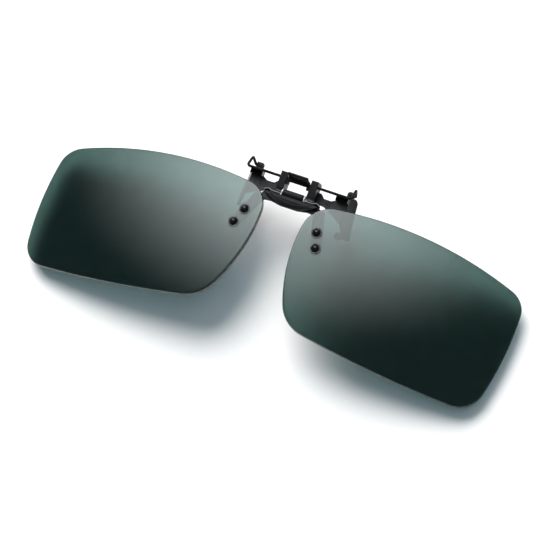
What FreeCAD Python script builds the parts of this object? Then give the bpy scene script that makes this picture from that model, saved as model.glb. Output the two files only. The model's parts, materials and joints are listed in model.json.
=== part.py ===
# Clip-on flip lenses: two tinted lenses on a hinged bridge, carried by a spring clip
# that grips a pair of spectacles.  All sizes are in millimetres.
#
# Row frame: the origin is the centre of the flip hinge.  +X is to the right as seen
# from the front, -Y is the front, +Y points back to the wearer and +Z is up along the clip.
# The clip stands upright in that frame.  The lens unit is modelled in its own upright
# frame about the same hinge and is placed tipped forward by rest_flip.

import FreeCAD, Part
import math
import os
import Sketcher
from FreeCAD import Placement, Rotation, Vector

DIMENSIONS = [
    ("rest_flip", 15.0, "angle of the lens unit from the clip at rest, degrees"),
    # lenses
    ("lens_length", 60.0, "length of a lens along its top edge"),
    ("lens_height", 33.1, "height of a lens along its nose edge"),
    ("lens_wall", 1.1, "thickness of a lens"),
    ("lens_curve", 250.0, "radius of the front surface of a lens"),
    ("lens_wrap", 10.6, "angle by which each lens wraps back, degrees"),
    ("lens_nose_gap", 6.5, "from the middle to the sharp nose corner of a lens"),
    ("lens_top_drop", 1.3, "sharp nose corner of a lens below the hinge"),
    ("lens_pivot_x", 36.0, "from the middle to the crown of a lens surface"),
    ("lens_pivot_y", 2.4, "crown of a lens surface behind the hinge"),
    ("lens_crown_drop", 4.2, "crown of a lens surface below the hinge"),
    ("lens_shoulder_drop", 2.3, "outer top corner below the nose top corner"),
    ("lens_nose_lean", 5.7, "nose bottom corner outside the nose top corner"),
    ("lens_outer_lean", 1.5, "outer bottom corner inside the outer top corner"),
    ("lens_foot_drop", 2.4, "outer bottom corner below the nose bottom corner"),
    ("top_edge_radius", 116.0, "arch of the top edge"),
    ("outer_edge_radius", 88.0, "arch of the outer edge"),
    ("bottom_edge_radius", 205.0, "arch of the bottom edge"),
    ("nose_edge_radius", 47.0, "arch of the nose edge"),
    ("nose_top_round", 7.8, "corner radius"),
    ("outer_top_round", 6.1, "corner radius"),
    ("outer_foot_round", 7.3, "corner radius"),
    ("nose_foot_round", 10.0, "corner radius"),
    # lens rivets
    ("rivet_x", 10.8, "midpoint of a rivet pair from the middle, along the lens"),
    ("rivet_drop", 10.3, "midpoint of a rivet pair below the hinge"),
    ("rivet_pitch", 4.4, "between the two rivets of a lens"),
    ("rivet_slant", 18.5, "slant of a rivet pair, degrees"),
    ("rivet_head_radius", 1.22, "domed head"),
    ("rivet_head_height", 0.75, "domed head"),
    ("rivet_shank_radius", 0.55, "shank"),
    ("rivet_tail_radius", 0.85, "riveted tail"),
    ("rivet_tail_height", 0.35, "riveted tail"),
    ("bush_flange_radius", 1.5, "clear top-hat bush"),
    ("bush_flange_height", 0.2, "clear top-hat bush"),
    ("bush_sleeve_wall", 0.3, "clear top-hat bush"),
    ("washer_height", 0.3, "clear washer between lens and arm"),
    ("fit_gap", 0.03, "radial clearance of a running fit"),
    # bridge
    ("sheet_front", 0.1, "front face of the bridge sheet behind the hinge"),
    ("sheet_wall", 0.55, "bridge sheet thickness"),
    ("arm_wall", 0.6, "lens arm thickness"),
    ("arm_width", 3.0, "lens arm width"),
    ("arm_rise", 6.4, "lens arm above its upper rivet"),
    ("knuckle_radius", 1.0, "rolled hinge knuckle"),
    ("knuckle_half", 2.62, "half length of the knuckle"),
    ("pin_radius", 0.4, "hinge pin"),
    ("sheet_half", 8.3, "half length of the bridge sheet"),
    ("sheet_top_drop", 0.62, "upper edge of the bridge sheet beside the ears"),
    ("sheet_foot_drop", 3.6, "lower edge of the bridge sheet at the middle"),
    ("brow_front", 1.0, "front of the brow before the hinge"),
    ("brow_half", 7.5, "half length of the brow"),
    ("brow_tip_drop", 1.45, "tips of the brow below the hinge"),
    ("brow_foot_drop", 3.9, "lower edge of the brow at the middle"),
    ("brow_radius", 13.2, "arch of the lower edge of the brow"),
    ("rim_wall", 0.26, "thickness of the rim above the brow"),
    ("rim_reach", 8.0, "half length of the rim"),
    # clip plate
    ("plate_front", 3.0, "front face of the clip plate behind the hinge"),
    ("plate_wall", 0.5, "clip plate thickness"),
    ("plate_half", 13.85, "half length of the clip plate"),
    ("plate_foot", 0.15, "lower edge of the clip plate above the hinge"),
    ("plate_sill", 0.95, "lower edge of the window above the hinge"),
    ("wing_top", 3.3, "top of a wing above the hinge"),
    ("scallop_floor", 2.2, "lowest line of a wing's scallop above the hinge"),
    ("scallop_inner", 6.0, "inner end of the scallop"),
    ("scallop_outer", 10.5, "outer end of the scallop"),
    ("ledge_foot", 2.65, "underside of the wire ledge above the hinge"),
    ("ledge_top", 4.4, "top of the wire ledge above the hinge"),
    ("ledge_depth", 1.8, "wire ledge, forward of the plate"),
    ("wing_slope", 6.2, "length of the slanted lower edge of a wing"),
    ("apron_drop", 3.3, "slanted apron at the end of a wing, below the hinge"),
    ("cheek_splay", 25.0, "cheek from straight back, degrees"),
    ("cheek_length", 5.4, "length of a cheek"),
    ("cheek_rise", 4.8, "top of a cheek above the hinge"),
    ("cheek_drop", 6.1, "foot of a cheek below the hinge"),
    ("claw_length", 3.0, "lower claw tongue"),
    ("claw_radius", 0.4, "lower claw tongue"),
    # hinge bracket
    ("ear_inner", 2.75, "inner face of a hinge ear"),
    ("ear_wall", 0.5, "hinge ear thickness"),
    ("ear_radius", 0.9, "round end of a hinge ear"),
    ("foot_wall", 0.4, "foot of the bracket, under the slide block"),
    ("seat_gap", 0.07, "between a slide block and the foot of its bracket"),
    # slide blocks, posts and springs
    ("block_inner", 3.3, "inner face of a slide block"),
    ("block_width", 2.0, "slide block"),
    ("block_front", 0.3, "front of a slide block before the hinge"),
    ("block_foot", 0.85, "underside of a slide block above the hinge"),
    ("block_height", 4.6, "slide block"),
    ("bore_radius", 0.75, "spring bore in a slide block"),
    ("bore_back", 1.95, "axis of the spring bore behind the hinge"),
    ("block_floor", 0.4, "floor under the spring"),
    ("cap_wall", 0.25, "cap that closes the bore"),
    ("post_radius", 0.3, "guide post"),
    ("post_head_radius", 0.68, "head of the guide post"),
    ("post_head_height", 0.25, "head of the guide post"),
    ("spring_wire", 0.08, "radius of the spring wire"),
    ("spring_radius", 0.52, "mean radius of the spring"),
    ("spring_turns", 5, "turns of the spring"),
    # claw wire and thumb bar
    ("wire_radius", 0.37, "claw wire"),
    ("wire_back", 0.5, "claw wire behind the hinge"),
    ("wire_height", 4.0, "claw wire above the hinge"),
    ("wire_half", 14.9, "half span of the claw wire"),
    ("wire_bend", 0.8, "bend radius of the hook"),
    ("tip_bend", 0.45, "bend radius between the hook and its tip"),
    ("hook_height", 6.9, "top of the hook above the hinge"),
    ("hook_back", 2.2, "top of the hook behind the hinge"),
    ("tip_back", 5.5, "tip of the hook behind the hinge"),
    ("tip_height", 5.55, "tip of the hook above the hinge"),
    ("tip_outer", 14.3, "outer end of the tip"),
    ("tip_inner", 12.3, "inner end of the tip"),
    ("boot_radius", 1.0, "rubber boot on a claw"),
    ("boot_length", 1.9, "rubber boot on a claw"),
    ("boot_nose", 0.3, "rubber in front of the claw's end"),
    ("bar_half", 2.8, "half length of the thumb bar"),
    ("bar_wall", 0.42, "thumb bar sheet"),
    ("bar_front", 2.3, "front of the thumb bar before the hinge"),
    ("bar_rise", 5.0, "front of the thumb bar above the hinge"),
    ("gusset_height", 1.2, "end gusset of the thumb bar"),
    ("gusset_width", 0.85, "end gusset of the thumb bar"),
    # detent spring
    ("detent_wall", 0.15, "leaf behind the knuckle"),
    ("detent_half", 1.8, "half width of the leaf"),
]

doc = FreeCAD.newDocument("flip_clip")
sheet = doc.addObject("Spreadsheet::Sheet", "dims")
for row, (alias, number, note) in enumerate(DIMENSIONS, 1):
    sheet.set(f"A{row}", alias)
    sheet.set(f"B{row}", str(number))
    sheet.set(f"C{row}", note)
    sheet.setAlias(f"B{row}", alias)
doc.recompute()
doc.addObject("App::FeaturePython", "rule")   # evaluates expressions for starting positions


def full(expression):
    """An expression with each alias written as dims.alias."""
    text = str(expression)
    words = sorted((alias for alias, _, _ in DIMENSIONS), key=len, reverse=True)
    out = ""
    i = 0
    while i < len(text):
        word = next((w for w in words if text.startswith(w, i)), None)
        if word:
            out += "dims." + word
            i += len(word)
        else:
            out += text[i]
            i += 1
    return out


def value(expression):
    """The number that an expression over the sheet's aliases has now."""
    return float(doc.rule.evalExpression(full(expression)))


SIDES = (("left", -1), ("right", 1))


# ---------------------------------------------------------------- modelling helpers
def origin_plane(body, role):
    return next(f for f in body.Origin.OriginFeatures if f.Role == role)


def loop_sketch(body, plane, corners, offset="0"):
    """A closed sketch through corners.

    A corner is (x, y) or (x, y, radius, side): with a radius, the edge that leaves it is
    an arc which bulges to the left of the way round (side 1) or to the right (side -1).
    """
    sketch = body.newObject("Sketcher::SketchObject", "outline")
    sketch.AttachmentSupport = (origin_plane(body, plane), "")
    sketch.MapMode = "FlatFace"
    sketch.setExpression("AttachmentOffset.Base.z", full(offset))
    points = [Vector(value(c[0]), value(c[1]), 0) for c in corners]
    starts = []
    ends = []
    for i, corner in enumerate(corners):
        a = points[i]
        b = points[(i + 1) % len(points)]
        if len(corner) == 2:
            index = sketch.addGeometry(Part.LineSegment(a, b), False)
            starts.append((index, 1))
            ends.append((index, 2))
            continue
        chord = b - a
        radius = value(corner[2])
        bulge = radius - math.sqrt(radius ** 2 - (chord.Length / 2) ** 2)
        leftward = Vector(-chord.y, chord.x, 0).normalize()
        centre = (a + b) * 0.5 + leftward * (bulge - radius) * corner[3]
        ends_ccw = (b, a) if corner[3] > 0 else (a, b)
        angles = [math.atan2(p.y - centre.y, p.x - centre.x) for p in ends_ccw]
        arc = Part.ArcOfCircle(Part.Circle(centre, Vector(0, 0, 1), radius), *angles)
        index = sketch.addGeometry(arc, False)
        first_is_start = (sketch.Geometry[index].StartPoint - a).Length < 1e-6
        starts.append((index, 1 if first_is_start else 2))
        ends.append((index, 2 if first_is_start else 1))
        radius_rule = sketch.addConstraint(Sketcher.Constraint("Radius", index, radius))
        sketch.setExpression(f"Constraints[{radius_rule}]", full(corner[2]))
    for i, corner in enumerate(corners):
        sketch.addConstraint(Sketcher.Constraint("Coincident", *ends[i - 1], *starts[i]))
        for way, text, number in (("DistanceX", corner[0], points[i].x),
                                  ("DistanceY", corner[1], points[i].y)):
            rule = sketch.addConstraint(
                Sketcher.Constraint(way, -1, 1, starts[i][0], starts[i][1], number))
            sketch.setExpression(f"Constraints[{rule}]", full(text))
    return sketch


def pad(label, plane, corners, low, high):
    """A body: corners padded from low to high along the plane's own axis (+Z, -Y or +X)."""
    body = doc.addObject("PartDesign::Body", label)
    sketch = loop_sketch(body, plane, corners, low)
    feature = body.newObject("PartDesign::Pad", "pad")
    feature.Profile = sketch
    feature.setExpression("Length", f"({full(high)}) - ({full(low)})")
    return body


def turned(label, corners):
    """A body turned about Z from a profile of (radius, height) corners."""
    body = doc.addObject("PartDesign::Body", label)
    sketch = loop_sketch(body, "XZ_Plane", corners)
    feature = body.newObject("PartDesign::Revolution", "turn")
    feature.Profile = sketch
    feature.ReferenceAxis = (sketch, ["V_Axis"])
    feature.Angle = 360.0
    return body


def box(label, x, y, z):
    """A box from pairs of expressions, low and high along each axis."""
    item = doc.addObject("Part::Box", label)
    for size, place, (low, high) in (("Length", "x", x), ("Width", "y", y), ("Height", "z", z)):
        item.setExpression(size, f"({full(high)}) - ({full(low)})")
        item.setExpression(f"Placement.Base.{place}", full(low))
    return item


ALONG = {"x": Rotation(Vector(0, 1, 0), 90), "y": Rotation(Vector(1, 0, 0), -90), "z": Rotation()}


def rod(label, radius, length, base, along):
    """A cylinder from base along +X, +Y or +Z."""
    item = doc.addObject("Part::Cylinder", label)
    item.Placement = Placement(Vector(), ALONG[along])
    item.setExpression("Radius", full(radius))
    item.setExpression("Height", full(length))
    for place, text in zip("xyz", base):
        item.setExpression(f"Placement.Base.{place}", full(text))
    return item


def placed_rod(label, radius, length, placement):
    """A cylinder along the placement's own Z."""
    item = doc.addObject("Part::Cylinder", label)
    item.setExpression("Radius", full(radius))
    item.setExpression("Height", full(length))
    item.Placement = placement
    return item


def fuse(label, *items):
    item = doc.addObject("Part::MultiFuse", label)
    item.Shapes = list(items)
    return item


def cut(label, base, *tools):
    item = doc.addObject("Part::Cut", label)
    item.Base = base
    item.Tool = tools[0] if len(tools) == 1 else fuse(label + "_tools", *tools)
    return item


def common(label, base, tool):
    item = doc.addObject("Part::Common", label)
    item.Base = base
    item.Tool = tool
    return item


def round_edges(label, base, radius, chosen):
    """Fillets the edges of base that the function chosen picks."""
    doc.recompute()
    item = doc.addObject("Part::Fillet", label)
    item.Base = base
    size = value(radius)
    item.Edges = [(i, size, size) for i, edge in enumerate(base.Shape.Edges, 1) if chosen(edge)]
    return item


def mirrored(side, corners):
    """Corners of the right-hand outline, turned into the outline of that side."""
    if side > 0:
        return corners
    return [(f"-({c[0]})", c[1]) + ((c[2], -c[3]) if len(c) > 2 else ()) for c in corners]


def span(side, low, high):
    """A pair of expressions along X for that side, the smaller one first."""
    return (low, high) if side > 0 else (f"-({high})", f"-({low})")


def bent_path(points, bends):
    """A wire of straight runs joined by tangent arcs, with one radius for each corner."""
    edges = []
    start = points[0]
    for before, corner, after, bend in zip(points, points[1:], points[2:], bends):
        inward = (before - corner).normalize()
        outward = (after - corner).normalize()
        half = inward.getAngle(outward) / 2
        setback = bend / math.tan(half)
        first = corner + inward * setback
        last = corner + outward * setback
        centre = corner + (inward + outward).normalize() * (bend / math.sin(half))
        middle = centre + (corner - centre).normalize() * bend
        edges.append(Part.LineSegment(start, first).toShape())
        edges.append(Part.Arc(first, middle, last).toShape())
        start = last
    edges.append(Part.LineSegment(start, points[-1]).toShape())
    return Part.Wire(edges)


def sweep_round(path, radius):
    """A round bar along a wire, closed at both ends."""
    start = path.Edges[0].firstVertex().Point
    way = path.Edges[0].tangentAt(path.Edges[0].FirstParameter)
    section = Part.Wire(Part.makeCircle(radius, start, way))
    return path.makePipeShell([section], True, True)


nodes = {}


def keep(item, placement=None):
    """Makes item a sub-part of the finished object, placed in the row frame."""
    if placement is not None:
        item.Placement = placement
    nodes[item.Label] = item
    return item


# ------------------------------------------------------------------ lens unit frames
tip_forward = Placement(Vector(), Rotation(Vector(1, 0, 0), -value("rest_flip")))


def lens_frame(side):
    """Crown of a lens surface: X along the lens, Y back, Z up."""
    crown = Vector(side * value("lens_pivot_x"), value("lens_pivot_y"), -value("lens_crown_drop"))
    return Placement(crown, Rotation(Vector(0, 0, 1), side * value("lens_wrap")))


def rivet_frame(side):
    """Midpoint of a rivet pair on the lens: Z out of the front, X down the slanted pair."""
    radius = value("lens_curve")
    along = side * value("rivet_x - lens_pivot_x")
    up = -value("rivet_drop - lens_crown_drop")
    depth = radius - math.sqrt(radius ** 2 - along ** 2 - up ** 2)
    outward = Vector(along, depth - radius, up).normalize()
    slant = math.radians(value("rivet_slant"))
    down = Vector(side * math.sin(slant), 0, -math.cos(slant))
    down = (down - outward * down.dot(outward)).normalize()
    turn = Rotation(down, outward.cross(down), outward, "ZXY")
    return lens_frame(side).multiply(Placement(Vector(along, depth, up), turn))


# ---------------------------------------------------------------------------- lenses
rivet_places = {"upper": "-rivet_pitch / 2", "lower": "rivet_pitch / 2"}
sleeve_radius = "rivet_shank_radius + fit_gap + bush_sleeve_wall"

for name, side in SIDES:
    nose = "lens_nose_gap - lens_pivot_x"
    top = "lens_crown_drop - lens_top_drop"
    corners = [
        (nose, top, "top_edge_radius", 1),
        (f"{nose} + lens_length", f"{top} - lens_shoulder_drop", "outer_edge_radius", 1),
        (f"{nose} + lens_length - lens_outer_lean", f"{top} - lens_height - lens_foot_drop",
         "bottom_edge_radius", 1),
        (f"{nose} + lens_nose_lean", f"{top} - lens_height", "nose_edge_radius", 1),
    ]
    blank = pad(f"{name}_lens_blank", "XZ_Plane", mirrored(side, corners),
                "-lens_curve / 8", "lens_curve / 8")
    rounded = blank
    fillets = (("nose_top_round", 0), ("outer_top_round", 1), ("outer_foot_round", 2),
               ("nose_foot_round", 3))
    for size, index in fillets:
        where = Vector(side * value(corners[index][0]), 0, value(corners[index][1]))

        def at_corner(edge, where=where):
            ends = [vertex.Point for vertex in edge.Vertexes]
            return len(ends) == 2 and all(math.hypot(p.x - where.x, p.z - where.z) < 0.01
                                          for p in ends)
        rounded = round_edges(f"{name}_lens_{size}", rounded, size, at_corner)
    outer = doc.addObject("Part::Sphere", f"{name}_lens_front")
    outer.setExpression("Radius", full("lens_curve"))
    inner = doc.addObject("Part::Sphere", f"{name}_lens_back")
    inner.setExpression("Radius", full("lens_curve - lens_wall"))
    for ball in (outer, inner):
        ball.setExpression("Placement.Base.y", full("lens_curve"))
    shell = cut(f"{name}_lens_shell", outer, inner)
    curved = common(f"{name}_lens_curved", shell, rounded)
    pair = rivet_frame(side)
    to_lens = lens_frame(side).inverse().multiply(pair)
    holes = []
    for place, along in rivet_places.items():
        start = Placement(Vector(value(along), 0, -value("lens_wall * 3")), Rotation())
        holes.append(placed_rod(f"{name}_{place}_hole", f"{sleeve_radius} + fit_gap",
                                "lens_wall * 6", to_lens.multiply(start)))
    lens = cut(f"{name}_lens", curved, *holes)
    keep(lens, tip_forward.multiply(lens_frame(side)))

# ---------------------------------------- rivets, bushes and washers, in the rivet frame
stack_back = "lens_wall + washer_height"
for name, side in SIDES:
    pair = tip_forward.multiply(rivet_frame(side))
    for place, along in rivet_places.items():
        spot = pair.multiply(Placement(Vector(value(along), 0, 0), Rotation()))
        seat = "bush_flange_height"
        arm_back = f"-({stack_back} + arm_wall)"
        head = "(rivet_head_radius ^ 2 + rivet_head_height ^ 2) / (2 * rivet_head_height)"
        keep(turned(f"{name}_{place}_rivet", [
            ("0", f"{seat} + rivet_head_height", head, 1),
            ("rivet_head_radius", seat),
            ("rivet_shank_radius", seat),
            ("rivet_shank_radius", arm_back),
            ("rivet_tail_radius", arm_back),
            ("rivet_tail_radius * 0.8", f"{arm_back} - rivet_tail_height"),
            ("0", f"{arm_back} - rivet_tail_height"),
        ]), spot)
        shank = "rivet_shank_radius + fit_gap"
        keep(turned(f"{name}_{place}_bush", [
            (shank, "0 - lens_wall"),
            (shank, seat),
            ("bush_flange_radius", seat),
            ("bush_flange_radius", "fit_gap"),
            (sleeve_radius, "fit_gap"),
            (sleeve_radius, "0 - lens_wall"),
        ]), spot)
        keep(turned(f"{name}_{place}_washer", [
            (shank, f"-({stack_back})"),
            (shank, "-(lens_wall + fit_gap * 2)"),
            ("bush_flange_radius", "-(lens_wall + fit_gap * 2)"),
            ("bush_flange_radius", f"-({stack_back})"),
        ]), spot)

# ------------------------------------------------------- bridge sheet, knuckle and arms
sheet_back = "sheet_front + sheet_wall"
ear_slot = "ear_inner + ear_wall + 0.2"
slot_floor = "-(ear_radius + 0.35)"


def across(corners):
    """A right-hand half outline, from the middle out and back, made whole."""
    return corners + [(f"-({c[0]})", c[1]) + ((c[2], c[3]) if len(c) > 2 else ())
                      for c in reversed(corners)]


sheet_half_outline = [
    ("knuckle_half", "-0.55"),
    ("knuckle_half", slot_floor),
    (ear_slot, slot_floor),
    (ear_slot, "-sheet_top_drop"),
    ("sheet_half * 0.7", "-sheet_top_drop"),
    ("sheet_half * 0.85", "-sheet_top_drop + 0.35"),
    ("sheet_half", "-sheet_top_drop - 0.9"),
    ("sheet_half + 0.4", "-sheet_foot_drop + 0.2"),
    ("sheet_half * 0.62", "-sheet_foot_drop * 0.86"),
    ("sheet_half * 0.3", "-sheet_foot_drop"),
]
bridge_sheet = pad("bridge_sheet", "XZ_Plane", across(sheet_half_outline),
                   f"-({sheet_back})", "-sheet_front")
knuckle = rod("knuckle", "knuckle_radius", "knuckle_half * 2", ("-knuckle_half", "0", "0"), "x")
arms = []
for name, side in SIDES:
    strip = pad(f"{name}_arm", "XY_Plane", [
        ("-rivet_pitch / 2 - arm_rise", "-arm_width / 2"),
        ("rivet_pitch / 2", "-arm_width / 2", "arm_width / 2 + 0.001", -1),
        ("rivet_pitch / 2", "arm_width / 2"),
        ("-rivet_pitch / 2 - arm_rise", "arm_width / 2"),
    ], f"-({stack_back} + arm_wall)", f"-({stack_back})")
    strip.Placement = rivet_frame(side)
    holes = []
    for place, along in rivet_places.items():
        start = Placement(Vector(value(along), 0, -value("lens_wall * 5")), Rotation())
        holes.append(placed_rod(f"{name}_{place}_arm_hole", "rivet_shank_radius + fit_gap",
                                "lens_wall * 6", rivet_frame(side).multiply(start)))
    arms.append(cut(f"{name}_pierced_arm", strip, *holes))
bridge_blank = fuse("bridge_blank", bridge_sheet, knuckle, *arms)
pin_bore = rod("pin_bore", "pin_radius + fit_gap", "knuckle_half * 4",
               ("-knuckle_half * 2", "0", "0"), "x")
keep(cut("bridge_plate", bridge_blank, pin_bore), tip_forward)

# ------------------------------------------------------------------- brow and its rim
brow_half_outline = [
    (ear_slot, "-(knuckle_radius + 0.12)"),
    (ear_slot, "-sheet_top_drop - rim_wall - 0.15"),
    ("brow_half * 0.8", "-sheet_top_drop - rim_wall - 0.12"),
    ("brow_half * 0.95", "-sheet_top_drop - rim_wall - 0.3"),
    ("brow_half", "-brow_tip_drop"),
]
brow_outline = brow_half_outline[:-1] + [("brow_half", "-brow_tip_drop", "brow_radius", 1)]
brow_outline += [(f"-({x})", y) for x, y in reversed(brow_half_outline)]
brow_blank = pad("brow_blank", "XZ_Plane", brow_outline, "-(sheet_front)", "brow_front")
brow_profile = [
    ("sheet_front", "0"),
    ("-brow_front * 0.5", "0"),
    ("-brow_front", "-brow_foot_drop * 0.4", "brow_foot_drop * 0.9", -1),
    ("-brow_front * 0.2", "-brow_foot_drop - 0.1"),
    ("sheet_front", "-brow_foot_drop - 0.1"),
]
brow_cheek = pad("brow_cheek", "YZ_Plane", brow_profile, "-brow_half * 1.1", "brow_half * 1.1")
keep(common("brow_crescent", brow_blank, brow_cheek), tip_forward)

for name, side in SIDES:
    rim = [
        (ear_slot, "-sheet_top_drop - rim_wall"),
        (ear_slot, "-sheet_top_drop"),
        ("brow_half * 0.76", "-sheet_top_drop"),
        ("brow_half * 0.92", "-sheet_top_drop + 0.35"),
        ("rim_reach", "-sheet_top_drop - 0.25"),
        ("rim_reach - 0.15", "-sheet_top_drop - 0.45"),
        ("brow_half * 0.92", "-sheet_top_drop + 0.35 - rim_wall"),
        ("brow_half * 0.78", "-sheet_top_drop - rim_wall"),
    ]
    keep(pad(f"{name}_brow_rim", "XZ_Plane", mirrored(side, rim), "-(sheet_front)",
             "brow_front * 0.95"), tip_forward)

# -------------------------------------------------------------------------- clip plate
def claw_root(side):
    """Where the lower claw leaves the middle of its cheek."""
    splay = math.radians(value("cheek_splay"))
    reach = value("cheek_length * 0.78")
    x = value("plate_half - plate_wall / 2") + math.sin(splay) * reach
    y = value("plate_front + plate_wall / 2") + math.cos(splay) * reach
    return Vector(side * x, y, -value("cheek_drop - claw_radius - 0.1"))


plate_back = "plate_front + plate_wall"
pillar = "block_inner + block_width"
plate_half_outline = [
    ("block_inner", "plate_sill"),
    ("block_inner", "block_foot + block_height - 0.1"),
    (pillar, "block_foot + block_height - 0.1"),
    (pillar, "wing_top"),
    ("scallop_inner", "wing_top"),
    ("scallop_inner + 1.1", "scallop_floor"),
    ("scallop_outer - 1.3", "scallop_floor"),
    ("scallop_outer", "wing_top - 0.35"),
    ("scallop_outer", "ledge_top"),
    ("plate_half", "ledge_top"),
    ("plate_half", "-apron_drop"),
    ("plate_half - wing_slope", "plate_foot"),
]
clip_sheet = pad("clip_sheet", "XZ_Plane", across(plate_half_outline),
                 f"-({plate_back})", "-plate_front")
plate_pieces = [clip_sheet]
for name, side in SIDES:
    ledge = box(f"{name}_ledge", span(side, "scallop_outer", "plate_half"),
                ("plate_front - ledge_depth", "plate_front + plate_wall / 2"),
                ("ledge_foot", "ledge_top"))
    cheek = pad(f"{name}_cheek", "YZ_Plane", [
        ("0", "ledge_top"),
        ("cheek_length * 0.1", "ledge_top"),
        ("cheek_length * 0.3", "cheek_rise", "cheek_length * 0.3", 1),
        ("cheek_length * 0.64", "cheek_rise - 0.8"),
        ("cheek_length * 0.76", "0"),
        ("cheek_length", "-cheek_drop + 0.5"),
        ("cheek_length * 0.9", "-cheek_drop"),
        ("cheek_length * 0.56", "-cheek_drop"),
        ("0", "-apron_drop"),
    ], "-plate_wall / 2", "plate_wall / 2")
    corner = Vector(side * value("plate_half - plate_wall / 2"),
                    value("plate_front + plate_wall / 2"), 0)
    cheek.Placement = Placement(corner, Rotation(Vector(0, 0, 1), -side * value("cheek_splay")))
    claw = placed_rod(f"{name}_claw", "claw_radius", "claw_length",
                      Placement(claw_root(side), Rotation(Vector(0, 1, 0), -90 * side)))
    plate_pieces += [ledge, cheek, claw]
keep(fuse("clip_plate", *plate_pieces))


def boot(label, bore, root, side):
    """A rubber boot: a blind tube with a round nose, pushed on a claw from its tip."""
    item = turned(label, [
        (f"{bore} + 0.001", "0"),
        ("boot_radius", "0"),
        ("boot_radius", "boot_length - boot_radius * 0.6", "boot_radius * 0.75", 1),
        ("boot_radius * 0.4", "boot_length"),
        ("0", "boot_length"),
        ("0", "boot_length - boot_nose"),
        (f"{bore} + 0.001", "boot_length - boot_nose"),
    ])
    return keep(item, Placement(root, Rotation(Vector(0, 1, 0), -90 * side)))


for name, side in SIDES:
    root = claw_root(side)
    tip = root.x - side * value("claw_length")
    mouth = Vector(tip + side * value("boot_length - boot_nose"), root.y, root.z)
    boot(f"{name}_lower_boot", "claw_radius", mouth, side)

# ------------------------------------------------- hinge brackets, pin and detent leaf
for name, side in SIDES:
    ear = pad(f"{name}_ear", "YZ_Plane", [
        ("0", "ear_radius", "ear_radius + 0.001", -1),
        ("0", "-ear_radius"),
        ("plate_front", "plate_foot"),
        ("plate_front", "block_foot - seat_gap"),
        ("ear_radius", "block_foot - seat_gap"),
    ], *span(side, "ear_inner", "ear_inner + ear_wall"))
    foot = box(f"{name}_foot", span(side, "ear_inner", "block_inner + block_width"),
               ("0.1 - block_front", "plate_front"),
               ("block_foot - seat_gap - foot_wall", "block_foot - seat_gap"))
    bracket = fuse(f"{name}_bracket_blank", ear, foot)
    middle = "block_inner + block_width / 2"
    post_hole = rod(f"{name}_post_hole", "post_radius", "block_foot * 4",
                    (f"{side} * ({middle})", "bore_back", "-block_foot * 2"), "z")
    ear_hole = rod(f"{name}_ear_hole", "pin_radius", "ear_inner * 4",
                   ("-ear_inner * 2", "0", "0"), "x")
    keep(cut(f"{name}_hinge_bracket", bracket, post_hole, ear_hole))

pin_half = "ear_inner + ear_wall"
shaft = rod("pin_shaft", "pin_radius", f"({pin_half}) * 2", (f"-({pin_half})", "0", "0"), "x")
keep(round_edges("hinge_pin", shaft, "pin_radius * 0.4", lambda edge: len(edge.Vertexes) == 1))

leaf_front = "knuckle_radius + fit_gap"
leaf = pad("detent_leaf", "YZ_Plane", [
    (leaf_front, "-0.7"),
    (leaf_front, "plate_foot + 0.35 + detent_wall"),
    ("plate_front", "plate_foot + 0.35 + detent_wall"),
    ("plate_front", "plate_foot + 0.35"),
    (f"{leaf_front} + detent_wall", "plate_foot + 0.35"),
    (f"{leaf_front} + detent_wall", "-0.7"),
], "-detent_half", "detent_half")
keep(leaf)

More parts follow.
